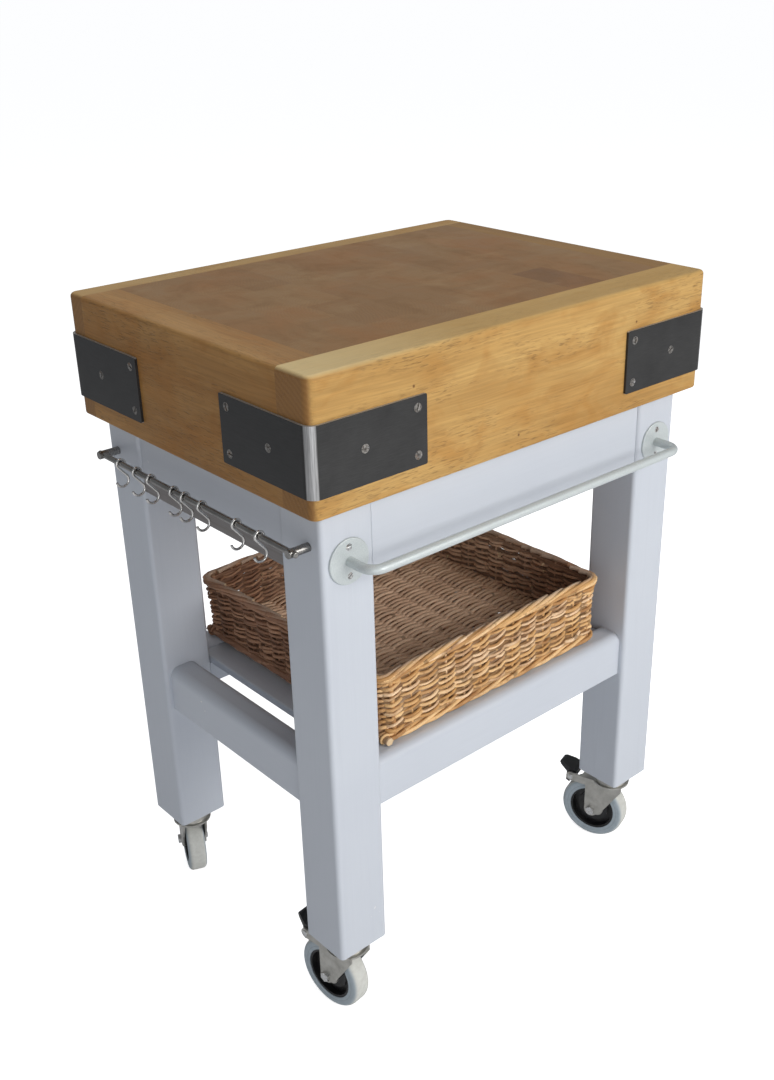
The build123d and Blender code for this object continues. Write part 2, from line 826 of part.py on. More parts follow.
with BuildPart() as tyre:
    with Locations(axle_across):
        Cylinder(wheel_diameter / 2, wheel_width)
    fillet(tyre.edges().filter_by(GeomType.CIRCLE), tyre_round)
    with Locations(axle_across):
        Cylinder(rim_radius + tyre_bond_gap, 2 * wheel_width, mode=Mode.SUBTRACT)

with BuildPart() as brake_pedal:
    # A tread plate above the fork's lugs, a boss round the rivet and a shoe over the tyre.
    pedal_top = pivot_z + pedal_rise
    with BuildSketch(Plane.XZ.offset(-(fork_inner - pedal_side_gap))):
        with BuildLine():
            Polyline(
                (pivot_x - 6, pivot_z),
                (pivot_x - 7, pivot_z + 7),
                (pivot_x - 4, pivot_z + 10),
                (pedal_reach - 5, pedal_top),
                (pedal_reach - 1, pedal_top - 1),
                (pedal_reach, pedal_top - 4),
                (pedal_reach - 3, pedal_top - pedal_tread_thickness),
                (pivot_x + 8, pivot_z + 4),
                (pivot_x + 9, pivot_z - 11),
                (pivot_x + 3, pivot_z - 12),
                close=True,
            )
        make_face()
        with Locations((pivot_x, pivot_z)):
            Circle(6.5)
    extrude(amount=2 * (fork_inner - pedal_side_gap))
    with BuildSketch():
        with BuildLine():
            Polyline(
                (pivot_x - 8, fork_inner),
                (pivot_x + 3, fork_inner),
                (pedal_reach, pedal_tip_width / 2),
                (pedal_reach, -pedal_tip_width / 2),
                (pivot_x + 3, -fork_inner),
                (pivot_x - 8, -fork_inner),
                close=True,
            )
        make_face()
    extrude(amount=castor_height + pedal_rise, mode=Mode.INTERSECT)
    with Locations(Plane((pivot_x, 0, pivot_z), z_dir=(0, 1, 0))):
        Cylinder(pedal_pin_diameter / 2 + axle_clearance, 4 * fork_outer, mode=Mode.SUBTRACT)

castor_pieces = {
    "castor_fork": fork.part,
    "castor_bolts": castor_bolts.part,
    "wheel_centre": wheel_centre.part,
    "tyre": tyre.part,
    "brake_pedal": brake_pedal.part,
}
for corner, (side_x, side_y) in corners.items():
    place = Location((side_x * leg_x, side_y * leg_y, 0), (0, 0, castor_turns[corner]))
    for piece_name, piece in castor_pieces.items():
        save(piece.moved(place), f"{piece_name}_{corner}")
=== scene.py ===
import json
import math
import random

import bpy
from mathutils import Matrix, Vector


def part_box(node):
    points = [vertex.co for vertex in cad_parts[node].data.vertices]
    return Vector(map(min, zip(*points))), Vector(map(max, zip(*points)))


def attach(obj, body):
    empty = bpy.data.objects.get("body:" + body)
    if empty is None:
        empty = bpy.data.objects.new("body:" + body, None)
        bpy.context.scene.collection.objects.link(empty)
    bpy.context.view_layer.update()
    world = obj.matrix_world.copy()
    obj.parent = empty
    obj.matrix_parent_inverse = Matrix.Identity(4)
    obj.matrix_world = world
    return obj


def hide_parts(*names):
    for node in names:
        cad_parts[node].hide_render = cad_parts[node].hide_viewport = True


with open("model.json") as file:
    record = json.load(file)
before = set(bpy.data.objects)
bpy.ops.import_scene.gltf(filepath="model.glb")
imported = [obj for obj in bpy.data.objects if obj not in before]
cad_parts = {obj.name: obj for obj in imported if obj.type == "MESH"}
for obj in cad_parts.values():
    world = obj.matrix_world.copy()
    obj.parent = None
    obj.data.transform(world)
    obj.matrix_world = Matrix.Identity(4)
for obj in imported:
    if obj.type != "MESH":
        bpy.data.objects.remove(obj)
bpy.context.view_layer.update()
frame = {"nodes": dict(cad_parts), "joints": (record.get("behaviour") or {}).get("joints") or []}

# ------------------------------------------------------------------ viewpoint
# A camera at standing height in front of the table's left front corner,
# looking a little down on it.
camera_data = bpy.data.cameras.new("camera")
camera = bpy.data.objects.new("camera", camera_data)
bpy.context.scene.collection.objects.link(camera)
camera_place = Vector((-0.9631, -1.1223, 1.2045))
camera_yaw, camera_pitch, camera_roll = math.radians(41.81), math.radians(-25.63), math.radians(-0.82)
looking = Vector(
    (
        math.sin(camera_yaw) * math.cos(camera_pitch),
        math.cos(camera_yaw) * math.cos(camera_pitch),
        math.sin(camera_pitch),
    )
)
camera.matrix_world = (
    Matrix.Translation(camera_place)
    @ looking.to_track_quat("-Z", "Y").to_matrix().to_4x4()
    @ Matrix.Rotation(camera_roll, 4, "Z")
)
camera_data.lens = 41.65
camera_data.sensor_width = 36
camera_data.shift_x = -0.0331
camera_data.shift_y = 0.0104
bpy.context.scene.camera = camera

# ------------------------------------------------------------------ studio
# A white paper floor that runs out of sight, a broad soft light in front, weak
# ones at the left and above, and a surround that is white to the eye.
floor_reach, floor_drop = 40, 0.0004
floor_signs = ((-1, -1), (1, -1), (1, 1), (-1, 1))
floor_corners = [(floor_reach * x, floor_reach * y, -floor_drop) for x, y in floor_signs]
floor_mesh = bpy.data.meshes.new("studio_floor")
floor_mesh.from_pydata(floor_corners, [], [(0, 1, 2, 3)])
floor = bpy.data.objects.new("studio_floor", floor_mesh)
bpy.context.scene.collection.objects.link(floor)
studio_paper = bpy.data.materials.new("studio_paper")
studio_paper.use_nodes = True
paper_tree = studio_paper.node_tree
paper_shader = paper_tree.nodes["Principled BSDF"]
paper_shader.inputs["Base Color"].default_value = (0.86, 0.86, 0.87, 1)
paper_shader.inputs["Roughness"].default_value = 0.95
paper_shader.inputs["Specular IOR Level"].default_value = 0.0
paper_seen = paper_tree.nodes.new("ShaderNodeLightPath")
paper_lift = paper_tree.nodes.new("ShaderNodeMath")
paper_lift.operation = "MULTIPLY"
paper_lift.inputs[1].default_value = 0.765
paper_tree.links.new(paper_seen.outputs["Is Camera Ray"], paper_lift.inputs[0])
paper_tree.links.new(paper_lift.outputs[0], paper_shader.inputs["Emission Strength"])
floor_mesh.materials.append(studio_paper)

surround = bpy.data.worlds.new("studio_surround")
surround.use_nodes = True
sky = surround.node_tree
seen = sky.nodes.new("ShaderNodeLightPath")
backdrop = sky.nodes.new("ShaderNodeBackground")
backdrop.inputs["Color"].default_value = (1, 1, 1, 1)
backdrop.inputs["Strength"].default_value = 1.0
glow = sky.nodes["Background"]
glow.inputs["Color"].default_value = (0.93, 0.96, 1.0, 1)
glow.inputs["Strength"].default_value = 0.27
either = sky.nodes.new("ShaderNodeMixShader")
sky.links.new(seen.outputs["Is Camera Ray"], either.inputs[0])
sky.links.new(glow.outputs[0], either.inputs[1])
sky.links.new(backdrop.outputs[0], either.inputs[2])
sky.links.new(either.outputs[0], sky.nodes["World Output"].inputs["Surface"])
bpy.context.scene.world = surround
bpy.context.scene.view_settings.view_transform = "Standard"


def soft_light(name, place, aim, size, power, light_colour):
    """A square softbox at a place, facing the aim."""
    data = bpy.data.lights.new(name, "AREA")
    data.shape = "SQUARE"
    data.size = size
    data.energy = power
    data.color = light_colour
    lamp = bpy.data.objects.new(name, data)
    bpy.context.scene.collection.objects.link(lamp)
    facing = (Vector(aim) - Vector(place)).to_track_quat("-Z", "Y")
    lamp.matrix_world = Matrix.Translation(place) @ facing.to_matrix().to_4x4()
    lamp.visible_camera = False


soft_light("softbox_front", (0.9, -3.5, 1.9), (0, 0, 0.5), 2.4, 90, (1.0, 0.985, 0.965))
soft_light("softbox_front_left", (-2.0, -3.0, 0.6), (0, 0, 0.4), 2.0, 27, (0.98, 0.985, 1.0))
soft_light("softbox_above", (0.4, 0.5, 3.4), (0, 0, 0.5), 2.4, 32, (1, 1, 1))

# ------------------------------------------------------------------ chopping block
# Four honey-coloured hardwood boards are glued round a core of upright
# blocks whose end grain is the cutting face. All of it is sanded and oiled.


def add_node(tree, kind, inputs=None, **settings):
    """A node with its settings, and its inputs given a value or joined to another node's output."""
    made = tree.nodes.new(kind)
    for name, value in settings.items():
        setattr(made, name, value)
    for name, value in (inputs or {}).items():
        if isinstance(value, bpy.types.NodeSocket):
            tree.links.new(value, made.inputs[name])
        else:
            made.inputs[name].default_value = value
    return made


def maths(tree, operation, *values):
    """The output of one Math node."""
    return add_node(tree, "ShaderNodeMath", dict(enumerate(values)), operation=operation).outputs[0]


def vector_maths(tree, operation, *values):
    """The two outputs of one Vector Math node: a vector, and the number that some operations give."""
    return add_node(tree, "ShaderNodeVectorMath", dict(enumerate(values)), operation=operation).outputs


def parts_of(tree, vector):
    """A vector's three numbers."""
    return add_node(tree, "ShaderNodeSeparateXYZ", {0: vector}).outputs


def vector_of(tree, x, y, z=0.0):
    """A vector from three numbers."""
    return add_node(tree, "ShaderNodeCombineXYZ", {0: x, 1: y, 2: z}).outputs[0]


def span(tree, value, low, high, to_low=0.0, to_high=1.0):
    """A value that goes from one span to another, held inside it."""
    wanted = {"Value": value, "From Min": low, "From Max": high, "To Min": to_low, "To Max": to_high}
    return add_node(tree, "ShaderNodeMapRange", wanted, clamp=True).outputs["Result"]


def blend_colours(tree, factor, first, second, how="MIX"):
    """Two colours mixed by a factor."""
    made = add_node(tree, "ShaderNodeMix", data_type="RGBA", blend_type=how)
    for socket, value in ((0, factor), (6, first), (7, second)):
        if isinstance(value, bpy.types.NodeSocket):
            tree.links.new(value, made.inputs[socket])
        elif socket == 0:
            made.inputs[0].default_value = value
        else:
            made.inputs[socket].default_value = (*value, 1)
    return made.outputs[2]


def tint(tree, colour, over, mask, low, high, most=1.0):
    """A colour with another over it, by a mask that is none of it at low and the most of it at high."""
    return blend_colours(tree, span(tree, mask, low, high, 0.0, most), colour, over)


def noise(tree, place, scale, detail, roughness=0.5):
    """Noise of the same size each way."""
    wanted = {"Vector": place, "Scale": scale, "Detail": detail, "Roughness": roughness}
    return add_node(tree, "ShaderNodeTexNoise", wanted).outputs["Fac"]


def stretched_noise(tree, place, stretch, detail=2.0, roughness=0.5, distortion=0.0):
    """Noise drawn out along the axes whose stretch is small."""
    wanted = {
        "Vector": vector_maths(tree, "MULTIPLY", place, stretch)[0],
        "Scale": 1.0,
        "Detail": detail,
        "Roughness": roughness,
        "Distortion": distortion,
    }
    return add_node(tree, "ShaderNodeTexNoise", wanted).outputs["Fac"]


def new_group(name, inputs, outputs):
    """An empty shader node group with its inputs and outputs, and its two end nodes."""
    group = bpy.data.node_groups.new(name, "ShaderNodeTree")
    for label, kind in inputs:
        group.interface.new_socket(label, in_out="INPUT", socket_type="NodeSocket" + kind)
    for label, kind in outputs:
        group.interface.new_socket(label, in_out="OUTPUT", socket_type="NodeSocket" + kind)
    return group, group.nodes.new("NodeGroupInput"), group.nodes.new("NodeGroupOutput")


def use_group(tree, group, inputs):
    """A node group placed in a tree, with its inputs given a value or joined."""
    made = tree.nodes.new("ShaderNodeGroup")
    made.node_tree = group
    for name, value in inputs.items():
        if isinstance(value, bpy.types.NodeSocket):
            tree.links.new(value, made.inputs[name])
        else:
            made.inputs[name].default_value = value
    return made


def new_material(name, roughness, metallic=0.0, shine=0.5):
    """A material, its node tree and its Principled shader."""
    material = bpy.data.materials.new(name)
    material.use_nodes = True
    shader = material.node_tree.nodes["Principled BSDF"]
    shader.inputs["Roughness"].default_value = roughness
    shader.inputs["Metallic"].default_value = metallic
    shader.inputs["Specular IOR Level"].default_value = shine
    return material, material.node_tree, shader


def finish_material(tree, shader, colour, roughness, height, depth):
    """Join a colour, a roughness and a bump of some depth to the Principled shader."""
    tree.links.new(colour, shader.inputs["Base Color"])
    tree.links.new(roughness, shader.inputs["Roughness"])
    bump = add_node(tree, "ShaderNodeBump", {"Strength": 1.0, "Distance": depth, "Height": height})
    tree.links.new(bump.outputs[0], shader.inputs["Normal"])


def coordinates(tree, turned=False):
    """Object coordinates in metres, with the first axis turned along +Y if asked."""
    place = add_node(tree, "ShaderNodeTexCoord").outputs["Object"]
    if turned:
        turn = {"Vector": place, "Rotation": (0, 0, math.radians(-90))}
        place = add_node(tree, "ShaderNodeMapping", turn).outputs[0]
    return place


def facing_axes(tree):
    """How squarely the surface faces along each axis, from 0 to 1."""
    normal = parts_of(tree, add_node(tree, "ShaderNodeTexCoord").outputs["Normal"])
    return [maths(tree, "ABSOLUTE", normal[axis]) for axis in range(3)]


def dress(node_names, material):
    """Give a material to every slot of some CAD nodes."""
    for node_name in node_names:
        for slot in frame["nodes"][node_name].material_slots:
            slot.material = material


# Sawn along the grain: broad figure, fine fibre, cloudy patches and the short dark flecks of pores.
long_grain, inlet, outlet = new_group(
    "long_grain",
    [("Place", "Vector"), ("Seed", "Float")],
    [("Figure", "Float"), ("Fibre", "Float"), ("Cloud", "Float"), ("Flecks", "Float")],
)
shifted = vector_maths(long_grain, "ADD", inlet.outputs["Place"], inlet.outputs["Seed"])[0]
grain_sway = 0.02
sway = stretched_noise(long_grain, shifted, (4.0, 7.0, 7.0), 1.0)
sway = maths(long_grain, "MULTIPLY", maths(long_grain, "SUBTRACT", sway, 0.5), grain_sway)
wavy = vector_maths(long_grain, "ADD", shifted, vector_of(long_grain, 0.0, sway, sway))[0]
figure = stretched_noise(long_grain, wavy, (2.4, 26.0, 26.0), 3.0, 0.55, 0.4)
fibre = stretched_noise(long_grain, wavy, (10.0, 420.0, 420.0), 2.0, 0.6)
cloud = stretched_noise(long_grain, shifted, (13.0, 24.0, 24.0), 3.0, 0.6, 0.8)
fleck_noise = stretched_noise(long_grain, wavy, (75.0, 640.0, 640.0), 1.0, 0.6)
fleck_places = span(long_grain, stretched_noise(long_grain, shifted, (6.0, 22.0, 22.0), 2.0), 0.4, 0.62)
flecks = maths(long_grain, "MULTIPLY", span(long_grain, fleck_noise, 0.56, 0.68), fleck_places)
for label, value in (("Figure", figure), ("Fibre", fibre), ("Cloud", cloud), ("Flecks", flecks)):
    long_grain.links.new(value, outlet.inputs[label])

# Cut across the grain: curved growth rings and fine pores.
cross_grain, inlet, outlet = new_group(
    "cross_grain",
    [("Place", "Vector"), ("Ring Width", "Float")],
    [("Rings", "Float"), ("Pores", "Float")],
)
cut_place = inlet.outputs["Place"]
ring_wobble, pores_per_metre = 0.014, 900.0
wobble = maths(cross_grain, "MULTIPLY", noise(cross_grain, cut_place, 22.0, 2.0), ring_wobble)
radius = maths(cross_grain, "ADD", vector_maths(cross_grain, "LENGTH", cut_place)[1], wobble)
rings = maths(cross_grain, "DIVIDE", radius, inlet.outputs["Ring Width"])
rings = maths(cross_grain, "SINE", maths(cross_grain, "MULTIPLY", rings, 2 * math.pi))
cells = {"Vector": cut_place, "Scale": pores_per_metre, "Randomness": 1.0}
pores = add_node(cross_grain, "ShaderNodeTexVoronoi", cells).outputs["Distance"]
cross_grain.links.new(span(cross_grain, rings, -1.0, 1.0), outlet.inputs["Rings"])
cross_grain.links.new(span(cross_grain, pores, 0.28, 0.12), outlet.inputs["Pores"])


def end_plane(tree, place, heart):
    """Coordinates across a board's length, measured from the tree's heart below it."""
    split = parts_of(tree, place)
    across = maths(tree, "ADD", split[1], heart[0])
    return vector_of(tree, across, maths(tree, "SUBTRACT", split[2], heart[1]))


def oiled_board(name, turned, seed, browns, scrubbing_and_glare, knots=()):
    """The wood of one border board, with its end grain on the faces across its length."""
    material, tree, shader = new_material(name, 0.44, 0.0, 0.22)
    place = coordinates(tree, turned)
    grain = use_group(tree, long_grain, {"Place": place, "Seed": seed}).outputs
    light, dark, amber = browns
    colour = blend_colours(tree, span(tree, grain["Figure"], 0.3, 0.72), light, dark)
    colour = tint(tree, colour, amber, grain["Cloud"], 0.46, 0.7, 0.7)
    fibre = span(tree, grain["Fibre"], 0.3, 0.7, 0.86, 1.1)
    colour = blend_colours(tree, 1.0, colour, vector_of(tree, fibre, fibre, fibre), "MULTIPLY")
    colour = blend_colours(tree, maths(tree, "MULTIPLY", grain["Flecks"], 0.6), colour, (0.2, 0.11, 0.035))
    # End grain, where the face looks along the board.
    end_place = end_plane(tree, place, tree_heart)
    cut = use_group(tree, cross_grain, {"Place": end_place, "Ring Width": ring_width})
    end = tint(tree, cut_brown, tuple(0.7 * c for c in cut_brown), cut.outputs["Rings"], 0.0, 1.0, 0.4)
    end = tint(tree, end, (0.09, 0.04, 0.015), cut.outputs["Pores"], 0.0, 1.0, 0.35)
    colour = tint(tree, colour, end, facing_axes(tree)[1 if turned else 0], 0.45, 0.8)
    # The top is scrubbed, and on the front board it is also brightened with painted glare toward the
    # near-left end: by how much, and to which colours at the left and towards the right.
    share, scrubbed_and_glare_left, scrubbed_and_glare_right = scrubbing_and_glare
    plain = coordinates(tree)
    height_of, sideways = parts_of(tree, place)[2], parts_of(tree, plain)[0]
    scrubbed_and_glare = span(tree, height_of, block_top - scrubbed_and_glare_depth, block_top, 0.0, share)
    scrubbed_and_glare_colour = tint(tree, scrubbed_and_glare_left, scrubbed_and_glare_right, sideways, -0.3, -0.08)
    colour = blend_colours(tree, scrubbed_and_glare, colour, scrubbed_and_glare_colour)
    for centre, size in knots:
        away = vector_maths(tree, "DISTANCE", plain, centre)[1]
        colour = tint(tree, colour, (0.12, 0.045, 0.015), away, size, size * 0.35, 0.85)
    rough = span(tree, grain["Cloud"], 0.3, 0.7, 0.36, 0.5)
    rough = maths(tree, "ADD", rough, maths(tree, "MULTIPLY", scrubbed_and_glare, 0.1))
    height = maths(tree, "SUBTRACT", maths(tree, "MULTIPLY", grain["Fibre"], 0.5), grain["Flecks"])
    finish_material(tree, shader, colour, rough, height, 0.00025)
    return material


block_low, block_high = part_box("front_border_board")
block_top = block_high[2]
front_face = block_low[1]
tree_heart = (0.05, 0.62)
ring_width = 0.006
scrubbed_and_glare_depth = 0.0035
# Light, dark and amber browns; then how much the top is scrubbed and brightened by painted glare, and its
# left and right colours.
sunlit_browns = ((0.56, 0.345, 0.118), (0.44, 0.245, 0.072), (0.42, 0.205, 0.048))
shaded_browns = ((0.42, 0.222, 0.070), (0.31, 0.15, 0.042), (0.33, 0.142, 0.034))
cut_brown = (0.31, 0.155, 0.05)
# On the front board the pale left colour is partly scrubbed wood and partly a painted highlight of glare.
front_scrubbing_and_glare = (0.6, (0.78, 0.655, 0.36), (0.50, 0.33, 0.125))
back_scrubbing = (0.45, (0.44, 0.32, 0.17), (0.36, 0.25, 0.125))
left_scrubbing = (0.1, (0.55, 0.42, 0.235), (0.55, 0.42, 0.235))
right_scrubbing = (0.55, (0.25, 0.16, 0.07), (0.25, 0.16, 0.07))
front_knots = (
    ((-0.1729, front_face, block_top - 0.0383), 0.0023),
    ((0.1747, front_face, block_top - 0.0396), 0.0021),
    ((-0.020, front_face, block_top - 0.1292), 0.0022),
)
for name, turned, seed, browns, scrubbing_and_glare, knots in (
    ("front", False, 3.1, sunlit_browns, front_scrubbing_and_glare, front_knots),
    ("back", False, 11.7, sunlit_browns, back_scrubbing, ()),
    ("left", True, 5.3, shaded_browns, left_scrubbing, ()),
    ("right", True, 8.9, shaded_browns, right_scrubbing, ()),
):
    wood = oiled_board(f"{name}_board_wood", turned, seed, browns, scrubbing_and_glare, knots)
    dress([f"{name}_border_board"], wood)

# The core: upright blocks glued in rows, each with rings of its own and a slightly different brown.
core_wood, tree, shader = new_material("end_grain_wood", 0.4, 0.0, 0.2)
core_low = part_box("end_grain_core")[0]
block_width, block_length = 0.0537, 0.1
place = coordinates(tree)
split = parts_of(tree, vector_maths(tree, "SUBTRACT", place, (core_low[0], core_low[1], 0))[0])
row = maths(tree, "FLOOR", maths(tree, "DIVIDE", split[0], block_width))
odd_row = maths(tree, "PINGPONG", maths(tree, "ADD", row, 1.0), 1.0)
along_row = maths(tree, "ADD", split[1], maths(tree, "MULTIPLY", odd_row, block_length * 0.47))
number = maths(tree, "FLOOR", maths(tree, "DIVIDE", along_row, block_length))
which = vector_of(tree, row, number, 4.0)
chance = add_node(tree, "ShaderNodeTexWhiteNoise", {"Vector": which}, noise_dimensions="3D")
in_block_x = maths(tree, "SUBTRACT", split[0], maths(tree, "MULTIPLY", row, block_width))
in_block_y = maths(tree, "SUBTRACT", along_row, maths(tree, "MULTIPLY", number, block_length))
heart = vector_maths(tree, "SUBTRACT", chance.outputs["Color"], (0.5, 0.5, 0.5))[0]
heart = vector_maths(tree, "MULTIPLY", heart, (0.3, 0.3, 0.0))[0]
ring_place = vector_maths(tree, "ADD", vector_of(tree, in_block_x, in_block_y), heart)[0]
cut = use_group(tree, cross_grain, {"Place": ring_place, "Ring Width": 0.0038})
colour = tint(tree, (0.305, 0.175, 0.070), (0.24, 0.125, 0.044), chance.outputs["Value"], 0.0, 1.0, 0.6)
colour = tint(tree, colour, (0.13, 0.062, 0.03), cut.outputs["Rings"], 0.0, 1.0, 0.16)
colour = tint(tree, colour, (0.09, 0.045, 0.02), cut.outputs["Pores"], 0.0, 1.0, 0.22)
# One block near the front is darker than its neighbours.
dark, edge_blur = 1.0, 0.0008
for axis, low, high in ((0, 7 * block_width, 8 * block_width), (1, 0.0, block_length)):
    for edge, sign in ((low, 1), (high, -1)):
        past = maths(tree, "MULTIPLY", maths(tree, "SUBTRACT", split[axis], edge), sign)
        dark = maths(tree, "MULTIPLY", dark, span(tree, past, -edge_blur, edge_blur))
colour = blend_colours(tree, maths(tree, "MULTIPLY", dark, 0.62), colour, (0.13, 0.062, 0.028))
stain = stretched_noise(tree, place, (9.0, 7.0, 1.0), 4.0, 0.62, 0.8)
colour = tint(tree, colour, (0.295, 0.132, 0.038), stain, 0.42, 0.66, 0.7)
worn = stretched_noise(tree, place, (21.0, 15.0, 1.0), 4.0, 0.65, 0.6)
colour = tint(tree, colour, (0.19, 0.098, 0.036), worn, 0.5, 0.7, 0.45)
bleached = stretched_noise(tree, place, (12.0, 26.0, 1.0), 3.0, 0.6, 0.4)
colour = tint(tree, colour, (0.37, 0.24, 0.115), bleached, 0.55, 0.75, 0.35)
edge_x = maths(tree, "MINIMUM", in_block_x, maths(tree, "SUBTRACT", block_width, in_block_x))
edge_y = maths(tree, "MINIMUM", in_block_y, maths(tree, "SUBTRACT", block_length, in_block_y))
glue_line = span(tree, maths(tree, "MINIMUM", edge_x, edge_y), 0.0004, 0.0, 0.0, 0.28)
colour = blend_colours(tree, glue_line, colour, (0.08, 0.04, 0.02))
knife_cuts = stretched_noise(tree, place, (35.0, 900.0, 1.0), 1.0)
other_cuts = stretched_noise(tree, place, (700.0, 60.0, 1.0), 1.0)
cuts = maths(tree, "MAXIMUM", span(tree, knife_cuts, 0.7, 0.78), span(tree, other_cuts, 0.72, 0.8))
rough = maths(tree, "ADD", span(tree, worn, 0.3, 0.7, 0.3, 0.42), maths(tree, "MULTIPLY", cuts, 0.1))
ridges = maths(tree, "MULTIPLY", cut.outputs["Rings"], 0.15)
height = maths(tree, "SUBTRACT", ridges, maths(tree, "MULTIPLY", cuts, 0.7))
finish_material(tree, shader, colour, rough, height, 0.00015)
dress(["end_grain_core"], core_wood)

# ------------------------------------------------------------------ corner brackets
# Straps of mild steel, folded round each corner of the block under a dark
# lacquer that has been rubbed bright along the bend, and screwed on.
def grey_scale(tree, value):
    """A grey from a single value."""
    return add_node(tree, "ShaderNodeCombineColor", {0: value, 1: value, 2: value}).outputs[0]


# Fine parallel scratches, with a broad smudge over them.
rubbed_steel, inlet, outlet = new_group(
    "rubbed_steel",
    [("Place", "Vector"), ("Stretch", "Vector")],
    [("Scratches", "Float"), ("Smudge", "Float")],
)
scratches = stretched_noise(rubbed_steel, inlet.outputs["Place"], inlet.outputs["Stretch"], 2.0, 0.6)
smudge = stretched_noise(rubbed_steel, inlet.outputs["Place"], (28.0, 28.0, 28.0), 3.0, 0.6)
rubbed_steel.links.new(scratches, outlet.inputs["Scratches"])
rubbed_steel.links.new(smudge, outlet.inputs["Smudge"])

strap_steel, tree, shader = new_material("strap_steel", 0.36, 0.42, 0.35)
place = coordinates(tree)
marks = use_group(tree, rubbed_steel, {"Place": place, "Stretch": (60.0, 60.0, 1400.0)})
upright_marks = use_group(tree, rubbed_steel, {"Place": place, "Stretch": (900.0, 900.0, 30.0)})
faced = facing_axes(tree)
bend = span(tree, maths(tree, "MINIMUM", faced[0], faced[1]), 0.24, 0.36)
plate_grey = span(tree, marks.outputs["Smudge"], 0.3, 0.75, 0.034, 0.048)
scratched = span(tree, marks.outputs["Scratches"], 0.3, 0.7, 0.86, 1.12)
plate_grey = maths(tree, "MULTIPLY", plate_grey, scratched)
bright = span(tree, upright_marks.outputs["Scratches"], 0.3, 0.7, 0.30, 0.54)
colour = blend_colours(tree, bend, grey_scale(tree, plate_grey), grey_scale(tree, bright))
colour = tint(tree, colour, (0.42, 0.41, 0.39), faced[2], 0.3, 0.7)
rough = span(tree, marks.outputs["Smudge"], 0.3, 0.7, 0.32, 0.46)
finish_material(tree, shader, colour, rough, marks.outputs["Scratches"], 0.00003)
tree.links.new(maths(tree, "ADD", 0.42, maths(tree, "MULTIPLY", bend, 0.58)), shader.inputs["Metallic"])
corners = ("front_left", "front_right", "back_left", "back_right")
dress([f"corner_bracket_{corner}" for corner in corners], strap_steel)

# ------------------------------------------------------------------ wood screws
# Slotted countersunk steel screws: dull zinc on the brackets and slats, and
# brighter in the towel rail's flanges.
def screw_metal(name, light, dark, roughness):
    """Zinc-plated steel with stains in patches a few millimetres wide."""
    material, tree, shader = new_material(name, roughness, 1.0)
    place = coordinates(tree)
    stains = noise(tree, place, 420.0, 3.0)
    rust = noise(tree, place, 130.0, 1.0)
    colour = blend_colours(tree, span(tree, stains, 0.38, 0.62), light, dark)
    colour = tint(tree, colour, (0.23, 0.13, 0.07), rust, 0.56, 0.72, 0.6)
    rough = span(tree, stains, 0.3, 0.7, roughness - 0.08, roughness + 0.12)
    finish_material(tree, shader, colour, rough, stains, 0.0001)
    return material


dull_screw = screw_metal("dull_screw_zinc", (0.36, 0.345, 0.325), (0.14, 0.13, 0.12), 0.42)
bright_screw = screw_metal("bright_screw_zinc", (0.80, 0.81, 0.81), (0.34, 0.34, 0.33), 0.22)
dress(["bracket_screws", "slat_screws"], dull_screw)
dress(["towel_rail_screws"], bright_screw)

# ------------------------------------------------------------------ painted frame
# Square softwood legs, tenoned aprons and stretchers, and a shelf of slats,
# all brushed with two coats of pale lilac-grey satin paint.
def brushed_paint(name, length_axis, seed, rubbed=None):
    """Satin paint with brush marks along a piece and the ghost of the grain, rubbed through if asked."""
    material, tree, shader = new_material(name, 0.42, 0.0, 0.4)
    place = coordinates(tree)
    fine, coarse = [620.0] * 3, [90.0] * 3
    fine[length_axis], coarse[length_axis] = 14.0, 4.0
    moved = vector_maths(tree, "ADD", place, (seed, seed, seed))[0]
    marks = stretched_noise(tree, moved, tuple(fine), 2.0, 0.6)
    ghost = stretched_noise(tree, moved, tuple(coarse), 2.0, 0.5, 0.5)
    mottle = stretched_noise(tree, moved, (6.0, 6.0, 6.0), 2.0)
    colour = blend_colours(tree, span(tree, mottle, 0.3, 0.7), (0.55, 0.585, 0.645), (0.575, 0.61, 0.665))
    colour = tint(tree, colour, (0.51, 0.54, 0.60), ghost, 0.55, 0.8, 0.25)
    colour = tint(tree, colour, (0.66, 0.69, 0.75), marks, 0.35, 0.7, 0.1)
    nicks = noise(tree, moved, 150.0, 0.0)
    patches = stretched_noise(tree, moved, (9.0, 9.0, 9.0), 1.0)
    nicks = maths(tree, "MULTIPLY", span(tree, nicks, 0.8, 0.82), span(tree, patches, 0.66, 0.7))
    colour = blend_colours(tree, nicks, colour, (0.8, 0.8, 0.8))
    if rubbed:
        # Tools on the hooks have rubbed the outer face through to a grey undercoat, up to a height.
        rubbed_x, rubbed_z = rubbed
        split = parts_of(tree, place)
        low_down = span(tree, split[2], rubbed_z + rubbed_blur, rubbed_z - rubbed_blur)
        worn_off = maths(tree, "MULTIPLY", low_down, span(tree, split[0], rubbed_x, rubbed_x - 0.001))
        worn_off = maths(tree, "MULTIPLY", worn_off, span(tree, marks, 0.2, 0.8, 0.8, 1.0))
        colour = blend_colours(tree, worn_off, colour, (0.17, 0.148, 0.135))
    rough = span(tree, mottle, 0.3, 0.7, 0.36, 0.46)
    height = maths(tree, "ADD", maths(tree, "MULTIPLY", marks, 0.5), maths(tree, "MULTIPLY", ghost, 1.0))
    height = maths(tree, "SUBTRACT", height, maths(tree, "MULTIPLY", nicks, 1.5))
    finish_material(tree, shader, colour, rough, height, 0.00012)
    return material


